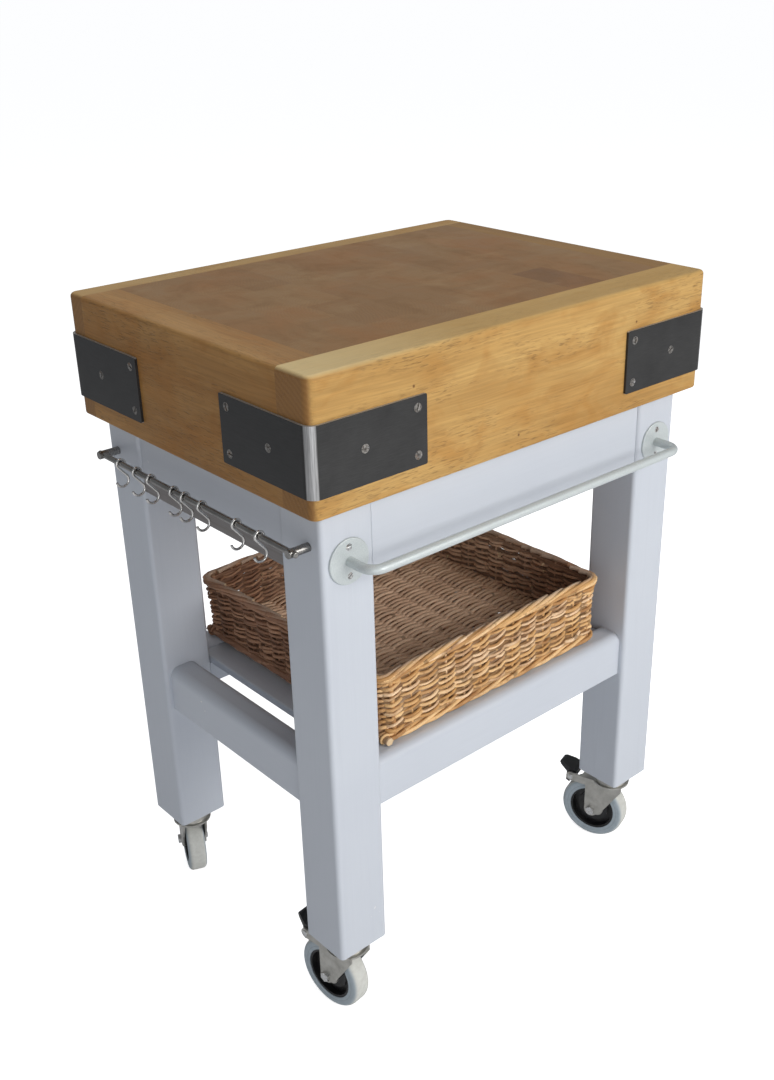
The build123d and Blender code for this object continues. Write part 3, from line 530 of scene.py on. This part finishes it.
for number, corner in enumerate(corners):
    dress([f"leg_{corner}"], brushed_paint(f"leg_paint_{corner}", 2, 1.7 * number))
long_rails = ["front_apron", "back_apron", "front_stretcher", "back_stretcher"]
dress(long_rails, brushed_paint("rail_paint_long", 0, 4.2))
dress(["right_apron", "left_stretcher", "right_stretcher"], brushed_paint("rail_paint_short", 1, 7.9))
apron_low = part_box("left_apron")[0]
rubbed_height, rubbed_depth, rubbed_blur = 0.0265, 0.006, 0.0015
rubbed_edge = (apron_low[0] + rubbed_depth, apron_low[2] + rubbed_height)
dress(["left_apron"], brushed_paint("rail_paint_rubbed", 1, 7.9, rubbed_edge))
dress(["shelf_cleats"], brushed_paint("cleat_paint", 0, 2.6))
dress(["shelf_slats"], brushed_paint("slat_paint", 1, 9.3))

# ------------------------------------------------------------------ towel rail
# A round steel bar, bent back at its ends and welded to two round flanges,
# with a silver-grey baked finish. The flanges are screwed to the front legs.
silver_finish, tree, shader = new_material("silver_finish", 0.44, 0.3)
place = coordinates(tree)
grain = noise(tree, place, 900.0, 2.0)
handled = stretched_noise(tree, place, (18.0, 40.0, 40.0), 3.0, 0.6)
colour = blend_colours(tree, span(tree, grain, 0.3, 0.7), (0.53, 0.58, 0.585), (0.63, 0.675, 0.675))
colour = tint(tree, colour, (0.46, 0.49, 0.49), handled, 0.55, 0.75, 0.35)
rough = span(tree, handled, 0.3, 0.7, 0.38, 0.5)
finish_material(tree, shader, colour, rough, grain, 0.00003)
dress(["towel_rail", "towel_rail_flanges"], silver_finish)

# ------------------------------------------------------------------ utensil rail
# A polished steel rod through two turned posts that screw in the left legs,
# with S-hooks of polished wire hung on it.
def polished_steel(name, light, dark, roughness, stretch):
    """Polished steel with faint turning or drawing marks."""
    material, tree, shader = new_material(name, roughness, 1.0)
    place = coordinates(tree)
    marks = use_group(tree, rubbed_steel, {"Place": place, "Stretch": stretch})
    colour = blend_colours(tree, span(tree, marks.outputs["Smudge"], 0.35, 0.7), light, dark)
    rough = span(tree, marks.outputs["Scratches"], 0.3, 0.7, roughness - 0.06, roughness + 0.1)
    finish_material(tree, shader, colour, rough, marks.outputs["Scratches"], 0.00003)
    return material


along_y, any_way = (900.0, 30.0, 900.0), (300.0, 300.0, 300.0)
rail_steel = polished_steel("rail_steel", (0.34, 0.332, 0.32), (0.23, 0.224, 0.213), 0.26, along_y)
hook_steel = polished_steel("hook_steel", (0.74, 0.73, 0.71), (0.52, 0.51, 0.49), 0.2, any_way)
dress(["utensil_rail", "utensil_rail_posts"], rail_steel)
dress([f"s_hook_{number}" for number in range(1, 9)], hook_steel)

# ------------------------------------------------------------------ willow basket
# A square tray of peeled and steamed willow: a woven floor on two thick end
# sticks, stakes with rods woven round them, a roped foot and a rolled rim.
basket_low, basket_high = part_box("basket")
rod_chance = random.Random(7)
wall_inset, wall_corner = 0.009, 0.012
wall_x = (basket_high[0] - basket_low[0]) / 2 - wall_inset
wall_y = (basket_high[1] - basket_low[1]) / 2 - wall_inset
stakes_along_side, stakes_in_corner = 12, 1
stake_thickness, corner_stake_thickness = 0.0046, 0.0072
rod_thickness, packing_thickness, closing_thickness = 0.0044, 0.0044, 0.0052
foot_rod_thickness, end_stick_thickness = 0.0054, 0.0104
foot_z = basket_low[2] + 0.0062
floor_z = basket_low[2] + 0.0165
wall_bottom = basket_low[2] + 0.0125
rim_z = basket_high[2] - 0.0085
row_count = 19
row_height = (rim_z - 0.0055 - wall_bottom) / row_count
# A rod's tone picks its colours: pale where it is cut, buff, dark as painted shade where it sits back in
# the weave, or a dusty floor.
cut_tone, woven_tone, foot_tone, stake_tone = -1.0, 0.0, 0.1, 0.15
floor_stick_tone, closing_painted_shade, packing_painted_shade, floor_tone = 0.3, 0.36, 0.40, 1.0
side_x, side_y = 2 * (wall_x - wall_corner), 2 * (wall_y - wall_corner)
corner_run = wall_corner * math.pi / 2
girth_run = 2 * (side_x + side_y) + 4 * corner_run
stake_runs = [0.0]
for side_length in (side_x, side_y, side_x, side_y):
    for length, count in ((side_length, stakes_along_side), (corner_run, stakes_in_corner)):
        start_run = stake_runs[-1]
        stake_runs += [start_run + length * (step + 1) / count for step in range(count)]
stake_count = len(stake_runs) - 1


def run_at(position):
    """The distance round the wall at a place counted in stakes."""
    turns, within = divmod(position, stake_count)
    index = int(within)
    share = within - index
    return turns * girth_run + stake_runs[index] * (1 - share) + stake_runs[index + 1] * share


def round_the_wall(run):
    """The place and outward direction at a run along the wall's middle, from the front left corner."""
    run %= girth_run
    turn = 0.0
    centres = ((1, -1), (1, 1), (-1, 1), (-1, -1))
    for side_length, (corner_x, corner_y) in zip((side_x, side_y, side_x, side_y), centres):
        facing = Vector((math.sin(turn), -math.cos(turn)))
        heading = Vector((math.cos(turn), math.sin(turn)))
        centre = Vector((corner_x * (wall_x - wall_corner), corner_y * (wall_y - wall_corner)))
        if run <= side_length:
            return centre + facing * wall_corner - heading * (side_length - run), facing
        run -= side_length
        if run <= corner_run or corner_x == corner_y == -1:
            angle = turn + run / wall_corner
            facing = Vector((math.sin(angle), -math.cos(angle)))
            return centre + facing * wall_corner, facing
        run -= corner_run
        turn += math.pi / 2


def basket_point(position, out, z):
    """A point of the wall at a place counted in stakes, leaning and bulging as hand-woven walls do."""
    run = run_at(position)
    place, facing = round_the_wall(run)
    share = (z - basket_low[2]) / (basket_high[2] - basket_low[2])
    waist = math.sin(math.pi * min(1.0, max(0.0, share)))
    bulge = (0.0014 * math.sin(run * 13.1 + 1.1) - 0.0016) * waist
    corner = max(0.0, abs(place.x / wall_x) + abs(place.y / wall_y) - 1.7) / 0.3
    spot = place + facing * (out + bulge + 0.0030 * share**2 * corner)
    lean_x = -(0.002 * share + 0.0065 * share**2) * max(0.0, -place.x / wall_x)
    lean_y = -0.0040 * share**2 * max(0.0, place.y / wall_y)
    settle = 0.0018 * math.sin(run * 9.7 + 0.6) * waist - 0.0025 * corner * share**2
    return (spot.x + lean_x, spot.y + lean_y, z + settle)


willow_paths = []


def lay_rod(points, butt, tip, tone, end_tone=None):
    """Keep one rod's path with its thickness and tone along it, and a short step at each cut end."""
    end_tone = tone if end_tone is None else end_tone
    first = Vector(points[0]).lerp(Vector(points[1]), 0.05)
    last = Vector(points[-1]).lerp(Vector(points[-2]), 0.05)
    points = [points[0], tuple(first), *points[1:-1], tuple(last), points[-1]]
    count = len(points) - 1
    willow_paths.append(
        [
            (point, butt + (tip - butt) * index / count, tone + (end_tone - tone) * index / count)
            for index, point in enumerate(points)
        ]
    )


def swayed(position, row):
    """How far a woven rod swings out (1) or in (-1) at a place between the stakes."""
    wave = math.cos(math.pi * (position + row))
    return math.copysign(abs(wave) ** 0.75, wave)


# Walls: each rod passes outside one stake and inside the next, climbing a little on the outside, and
# the row above does the opposite. Rods differ in thickness and wander, so no two rows lie alike.
swing = (stake_thickness + rod_thickness) / 2
for row in range(row_count):
    start = rod_chance.randrange(stake_count)
    left = stake_count
    height = wall_bottom + (row + 0.5) * row_height
    while left > 0:
        reach = min(left, rod_chance.choice((5, 7, 9, 11)))
        points = []
        lift = rod_chance.uniform(-0.0007, 0.0007)
        tuck = rod_chance.uniform(-0.25, 0.1)
        drift_start = rod_chance.uniform(0, 6)
        climb_by = rod_chance.uniform(0.0006, 0.0021)
        for step in range(-2, reach * 5 + 3):
            at = start + tuck + step / 5
            ends = min(1.0, (step + 2) / 3, (reach * 5 + 2 - step) / 3)
            out = swing * (swayed(at, row) * rod_chance.uniform(0.85, 1.1) * ends - (1 - ends) * 0.9)
            climb = climb_by * math.sin(math.pi * (at + row)) + 0.0011 * math.sin(at * 1.9 + drift_start)
            points.append(basket_point(at, out, height + lift + climb))
        butt = rod_thickness / 2 * rod_chance.uniform(0.8, 1.28)
        lay_rod(points, butt, butt * 0.75, woven_tone)
        start += reach
        left -= reach
    # A packing rod runs nearly straight between two rows and closes the wall; its tone paints it dark as
    # painted shade between the rows.
    packing = []
    for step in range(stake_count * 2 + 1):
        up = row_height / 2 + 0.0011 * math.sin(step * 0.9 + row * 2.3)
        packing.append(basket_point(step / 2, 0.0006 * math.sin(step * 1.7), height + up))
    lay_rod(packing, packing_thickness / 2, packing_thickness / 2, packing_painted_shade)
# Three more close the slits above the foot and under the rim, partly darkened as painted shade.
for height in (wall_bottom - 0.0015, rim_z - 0.0060, rim_z - 0.0030):
    closing = [basket_point(step / 2, 0.0, height) for step in range(stake_count * 2 + 1)]
    lay_rod(closing, closing_thickness / 2, closing_thickness / 2, closing_painted_shade)

# Stakes stand in the wall from the foot up into the rim, with a thicker stick at each end of a
# corner's turn.
corner_places = [
    side * (stakes_along_side + stakes_in_corner) + stakes_along_side * part
    for side in range(4)
    for part in (0, 1)
]
stake_foot = basket_low[2] + 0.003
for stake in range(stake_count):
    thick = (corner_stake_thickness if stake in corner_places else stake_thickness) / 2
    stake_steps = [stake_foot + (rim_z - stake_foot) * step / 6 for step in range(7)]
    lay_rod([basket_point(stake, 0.0, z) for z in stake_steps], thick, thick * 0.9, stake_tone)

# Foot: three rods turned together like a rope.
for strand in range(3):
    points = []
    for step in range(stake_count * 4 + 3):
        at = step / 4
        angle = 2 * math.pi * (at / 4 + strand / 3)
        out = 0.0012 + 0.0034 * math.cos(angle)
        points.append(basket_point(at, out, foot_z + 0.0030 * math.sin(angle)))
    lay_rod(points, foot_rod_thickness / 2, foot_rod_thickness / 2, foot_tone)

# Rim: each stake's end is bent along the edge from outside, over the top and in, and cut off pale.
for stake in range(stake_count):
    for layer in (0, 1):
        points = []
        reach = (3.5, 3.0)[layer] + rod_chance.uniform(-0.5, 0.4)
        first_angle, last_angle = ((-55, 135), (-30, 95))[layer]
        far = (0.0047, 0.0034)[layer] + rod_chance.uniform(-0.0004, 0.0003)
        for step in range(13):
            share = step / 12
            angle = math.radians(first_angle + (last_angle - first_angle) * share)
            at = stake + layer / 2 + reach * share
            points.append(basket_point(at, far * math.cos(angle), rim_z + far * 0.95 * math.sin(angle)))
        butt = rod_chance.uniform(0.0024, 0.0033)
        lay_rod(points, butt * 0.75, butt, woven_tone, (cut_tone, woven_tone)[layer])

# Floor: sticks run front to back in pairs and rods are woven across them. The thick end sticks are
# lashed at their ends and show in front, the right one set back behind the corner's rods.
floor_half_x, floor_half_y = wall_x - 0.003, wall_y - 0.003
stick_count = 9
stick_gap = 2 * floor_half_x / (stick_count + 1)
for stick in range(stick_count):
    for beside in (-0.0024, 0.0024):
        x = -floor_half_x + (stick + 1) * stick_gap + beside
        stick_line = [(x, floor_half_y * (step / 4 - 1), floor_z) for step in range(9)]
        lay_rod(stick_line, 0.0020, 0.0020, floor_stick_tone)
for x, end_inset in ((-wall_x - 0.0015, 0.0010), (wall_x - 0.0055, 0.0130)):
    end_y = basket_high[1] - end_inset
    stick_line = [(x, end_y * (step / 4 - 1), foot_z) for step in range(9)]
    lay_rod(stick_line, end_stick_thickness / 2, 0.0050, woven_tone)
    for end in (-1, 1):
        lashing = []
        for step in range(17):
            angle = 2 * math.pi * step / 12 + 0.8
            y = end * (end_y - 0.0075 - step * 0.0004)
            lashing.append((x + 0.0062 * math.cos(angle), y, foot_z + 0.0058 * math.sin(angle)))
        lay_rod(lashing, 0.0019, 0.0016, foot_tone)
weaver_count = 84
weaver_gap = 2 * floor_half_y / weaver_count
floor_swing = 0.0030
for weaver in range(weaver_count):
    y = -floor_half_y + (weaver + 0.5) * weaver_gap
    points = []
    wander = rod_chance.uniform(0, 6)
    for step in range((stick_count + 1) * 4 + 1):
        at = step / 4
        drift = 0.0009 * math.sin(at * 1.3 + wander) + rod_chance.uniform(-0.0003, 0.0003)
        ends = 0.5 if step in (0, (stick_count + 1) * 4) else 1.0
        up = floor_swing * swayed(at, weaver) * ends
        points.append((-floor_half_x + at * stick_gap, y + drift, floor_z + up))
    butt = rod_thickness / 2 * rod_chance.uniform(1.05, 1.35)
    lay_rod(points, butt, butt * 0.86, floor_tone)

# The paths become one mesh of lines that carries each point's thickness and tone.
path_points, path_edges, path_girths, path_tones = [], [], [], []
for path in willow_paths:
    first = len(path_points)
    for point, half_thickness, tone in path:
        path_points.append(point)
        path_girths.append(half_thickness)
        path_tones.append(tone)
    path_edges += [(first + index, first + index + 1) for index in range(len(path) - 1)]
willow_lines = bpy.data.meshes.new("willow_lines")
willow_lines.from_pydata(path_points, path_edges, [])
for label, values in (("girth", path_girths), ("tone", path_tones)):
    willow_lines.attributes.new(label, "FLOAT", "POINT").data.foreach_set("value", values)
basket = bpy.data.objects.new("willow_basket", willow_lines)
bpy.context.scene.collection.objects.link(basket)

# Willow: each rod is its own shade of buff, streaked along its length and pale where it is cut.
willow, tree, shader = new_material("willow", 0.5)
shader.inputs["Specular IOR Level"].default_value = 0.3
place = coordinates(tree)
rod_number, rod_part, rod_run, tone = (
    add_node(tree, "ShaderNodeAttribute", attribute_name=name).outputs["Fac"]
    for name in ("rod_number", "rod_part", "rod_run", "tone")
)
along = vector_of(tree, maths(tree, "MULTIPLY", rod_run, 26.0), maths(tree, "MULTIPLY", rod_number, 50.0))
patches = noise(tree, along, 1.0, 3.0)
streaks = noise(tree, place, 650.0, 2.0)
knots = noise(tree, along, 2.6, 0.0)
own_shade = maths(tree, "FRACT", maths(tree, "MULTIPLY", rod_number, 7.3))
buff = blend_colours(tree, rod_number, (0.92, 0.62, 0.31), (0.62, 0.34, 0.118))
buff = tint(tree, buff, (0.95, 0.72, 0.50), own_shade, 0.7, 0.8, 0.6)
buff = tint(tree, buff, (0.46, 0.23, 0.085), own_shade, 0.3, 0.05, 0.6)
buff = tint(tree, buff, (0.34, 0.155, 0.055), patches, 0.48, 0.68, 0.8)
# The sides and the inside are painted browner and darker, partly as their own browner willow and partly as
# painted shade away from the lit front wall, and the floor is a dusty grey-brown.
brown_and_painted_shade = blend_colours(tree, rod_number, (0.54, 0.30, 0.18), (0.30, 0.15, 0.088))
brown_and_painted_shade = tint(tree, brown_and_painted_shade, (0.18, 0.085, 0.05), patches, 0.5, 0.75, 0.6)
dusty = blend_colours(tree, rod_number, (0.92, 0.66, 0.46), (0.68, 0.45, 0.30))
dusty = tint(tree, dusty, (0.46, 0.28, 0.175), patches, 0.5, 0.75, 0.5)
split = parts_of(tree, place)
shaded_behind_front = span(tree, split[1], basket_low[1] + 0.010, basket_low[1] + 0.022)
colour = blend_colours(tree, shaded_behind_front, buff, brown_and_painted_shade)
inner = span(tree, maths(tree, "ADD", split[0], split[1]), 0.06, 0.16, 0.0, 0.75)
colour = blend_colours(tree, maths(tree, "MULTIPLY", shaded_behind_front, inner), colour, dusty)
# Middle tones darken the packing and closing rods: painted shade between the rows.
colour = tint(tree, colour, (0.09, 0.042, 0.021), tone, 0.3, 0.45)
colour = tint(tree, colour, dusty, tone, 0.6, 0.9)
colour = tint(tree, colour, (0.60, 0.47, 0.36), tone, -0.55, -0.8, 0.7)
colour = tint(tree, colour, (0.2, 0.09, 0.035), streaks, 0.5, 0.75, 0.35)
colour = tint(tree, colour, (0.12, 0.055, 0.02), knots, 0.72, 0.78, 0.6)
from_end = maths(tree, "MINIMUM", rod_part, maths(tree, "SUBTRACT", 1.0, rod_part))
colour = tint(tree, colour, (0.66, 0.50, 0.31), from_end, 0.0009, 0.0002, 0.8)
rough = span(tree, streaks, 0.3, 0.7, 0.42, 0.64)
finish_material(tree, shader, colour, rough, streaks, 0.0002)

# The rods are made from the lines: round, a little uneven, with flat cut ends.
rods = bpy.data.node_groups.new("willow_rods", "GeometryNodeTree")
for name, kind in (("Lines", "Geometry"), ("Sides", "Int"), ("Unevenness", "Float"), ("Seed", "Int")):
    rods.interface.new_socket(name, in_out="INPUT", socket_type="NodeSocket" + kind)
rods.interface.new_socket("Rods", in_out="OUTPUT", socket_type="NodeSocketGeometry")
inlet = rods.nodes.new("NodeGroupInput")
outlet = rods.nodes.new("NodeGroupOutput")


def stored(tree, geometry, name, value, domain):
    """A named number kept on a geometry."""
    wanted = {0: geometry, 2: name, 3: value}
    kind = "GeometryNodeStoreNamedAttribute"
    return add_node(tree, kind, wanted, data_type="FLOAT", domain=domain).outputs[0]


curves = add_node(rods, "GeometryNodeMeshToCurve", {0: inlet.outputs["Lines"]}).outputs[0]
which = {7: add_node(rods, "GeometryNodeInputIndex").outputs[0], 8: inlet.outputs["Seed"]}
number = add_node(rods, "FunctionNodeRandomValue", which, data_type="FLOAT").outputs[1]
spline = add_node(rods, "GeometryNodeSplineParameter")
curves = stored(rods, curves, "rod_number", number, "CURVE")
curves = stored(rods, curves, "rod_part", spline.outputs["Factor"], "POINT")
curves = stored(rods, curves, "rod_run", spline.outputs["Length"], "POINT")
girth = add_node(rods, "GeometryNodeInputNamedAttribute", {0: "girth"}, data_type="FLOAT").outputs[0]
lumps = add_node(rods, "ShaderNodeTexNoise", {"Scale": 70.0, "Detail": 1.0}).outputs["Fac"]
lumps = maths(rods, "MULTIPLY", maths(rods, "SUBTRACT", lumps, 0.5), inlet.outputs["Unevenness"])
girth = maths(rods, "MULTIPLY", girth, maths(rods, "ADD", lumps, 1.0))
circle = {"Resolution": inlet.outputs["Sides"], 4: 1.0}
section = add_node(rods, "GeometryNodeCurvePrimitiveCircle", circle).outputs[0]
skin = add_node(rods, "GeometryNodeCurveToMesh", {0: curves, 1: section, 2: girth, 3: True}).outputs[0]
skin = add_node(rods, "GeometryNodeSetShadeSmooth", {0: skin, 2: True}).outputs[0]
skin = add_node(rods, "GeometryNodeRealizeInstances", {0: skin}).outputs[0]
skin = add_node(rods, "GeometryNodeSetMaterial", {0: skin, 2: willow}).outputs[0]
rods.links.new(skin, outlet.inputs[0])


def grow(thing, tree, values):
    """Run a Geometry Nodes tree on an object and keep its result as a plain mesh."""
    growth = thing.modifiers.new("growth", "NODES")
    growth.node_group = tree
    for socket in tree.interface.items_tree:
        if socket.in_out == "INPUT" and socket.name in values:
            growth[socket.identifier] = values[socket.name]
    bpy.context.view_layer.update()
    finished = thing.evaluated_get(bpy.context.evaluated_depsgraph_get())
    plain = bpy.data.meshes.new_from_object(finished)
    thing.modifiers.clear()
    thing.data = plain


grow(basket, rods, {"Sides": 6, "Unevenness": 0.35, "Seed": 3})
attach(basket, "basket")
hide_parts("basket")

# ------------------------------------------------------------------ castors
# Four swivelling castors: pressed zinc-plated forks on a ball race, a hex
# bolt for the axle, black moulded wheels with a grey rubber tyre, and a pedal brake.
zinc, tree, shader = new_material("fork_zinc", 0.38, 0.85)
place = coordinates(tree)
spangle = add_node(tree, "ShaderNodeTexVoronoi", {"Vector": place, "Scale": 160.0}).outputs["Color"]
spangle = parts_of(tree, spangle)[0]
haze = noise(tree, place, 60.0, 4.0, 0.65)
colour = blend_colours(tree, span(tree, haze, 0.35, 0.7), (0.56, 0.55, 0.51), (0.40, 0.39, 0.355))
colour = blend_colours(tree, maths(tree, "MULTIPLY", spangle, 0.14), colour, (0.66, 0.66, 0.64))
rough = span(tree, haze, 0.3, 0.7, 0.3, 0.48)
finish_material(tree, shader, colour, rough, haze, 0.00008)
bolt_zinc = screw_metal("bolt_zinc", (0.78, 0.79, 0.8), (0.6, 0.6, 0.59), 0.22)

# Distance from the axle, for what is moulded round it.
about_axle, inlet, outlet = new_group(
    "about_axle",
    [("Place", "Vector"), ("Axle Point", "Vector"), ("Axle", "Vector")],
    [("From Axle", "Float")],
)
axle_line = inlet.outputs["Axle"]
arm = vector_maths(about_axle, "SUBTRACT", inlet.outputs["Place"], inlet.outputs["Axle Point"])[0]
across = vector_maths(about_axle, "DOT_PRODUCT", arm, axle_line)[1]
across = vector_maths(about_axle, "MULTIPLY", axle_line, vector_of(about_axle, across, across, across))[0]
arm = vector_maths(about_axle, "SUBTRACT", arm, across)[0]
about_axle.links.new(vector_maths(about_axle, "LENGTH", arm)[1], outlet.inputs["From Axle"])


def tyre_rubber(corner, axle_point, axle, radius):
    """Blue-grey rubber, worn to a dusty cream on the tread."""
    material, tree, shader = new_material(f"tyre_rubber_{corner}", 0.6)
    place = coordinates(tree)
    about = use_group(tree, about_axle, {"Place": place, "Axle Point": axle_point, "Axle": axle})
    from_axle = about.outputs["From Axle"]
    dust = noise(tree, place, 180.0, 4.0)
    colour = blend_colours(tree, span(tree, dust, 0.35, 0.7), (0.37, 0.435, 0.48), (0.43, 0.49, 0.53))
    mould_line = maths(tree, "ABSOLUTE", maths(tree, "SUBTRACT", from_axle, radius * 0.8))
    colour = tint(tree, colour, (0.16, 0.19, 0.21), mould_line, 0.0007, 0.0002, 0.35)
    tread = span(tree, from_axle, radius - 0.0035, radius - 0.0006)
    tread_cream = blend_colours(tree, span(tree, dust, 0.35, 0.7), (0.66, 0.665, 0.625), (0.58, 0.58, 0.54))
    colour = blend_colours(tree, tread, colour, tread_cream)
    rough = maths(tree, "ADD", 0.5, maths(tree, "MULTIPLY", tread, 0.3))
    finish_material(tree, shader, colour, rough, dust, 0.0002)
    return material


def moulded_plastic(name, roughness, base):
    """Black moulded plastic with a fine spark-eroded grain and a little floor dust."""
    material, tree, shader = new_material(name, roughness)
    place = coordinates(tree)
    grain = noise(tree, place, 1500.0, 1.0)
    dust = noise(tree, place, 90.0, 4.0, 0.6)
    colour = blend_colours(tree, span(tree, dust, 0.5, 0.85, 0.0, 0.4), base, (0.06, 0.055, 0.048))
    rough = span(tree, dust, 0.3, 0.7, roughness - 0.06, roughness + 0.14)
    finish_material(tree, shader, colour, rough, grain, 0.00008)
    return material


wheel_black = moulded_plastic("wheel_black", 0.36, (0.010, 0.010, 0.011))
pedal_black = moulded_plastic("pedal_black", 0.36, (0.006, 0.006, 0.007))
dress(["castor_stems"], zinc)
for joint in frame["joints"]:
    if joint["name"].startswith("wheel_spin_"):
        corner = joint["name"].removeprefix("wheel_spin_")
        low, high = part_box(f"tyre_{corner}")
        radius = (high[2] - low[2]) / 2
        axle_point = tuple((low[axis] + high[axis]) / 2 for axis in range(3))
        dress([f"tyre_{corner}"], tyre_rubber(corner, axle_point, tuple(joint["axis"]), radius))
        dress([f"castor_fork_{corner}"], zinc)
        dress([f"castor_bolts_{corner}"], bolt_zinc)
        dress([f"wheel_centre_{corner}"], wheel_black)
        dress([f"brake_pedal_{corner}"], pedal_black)
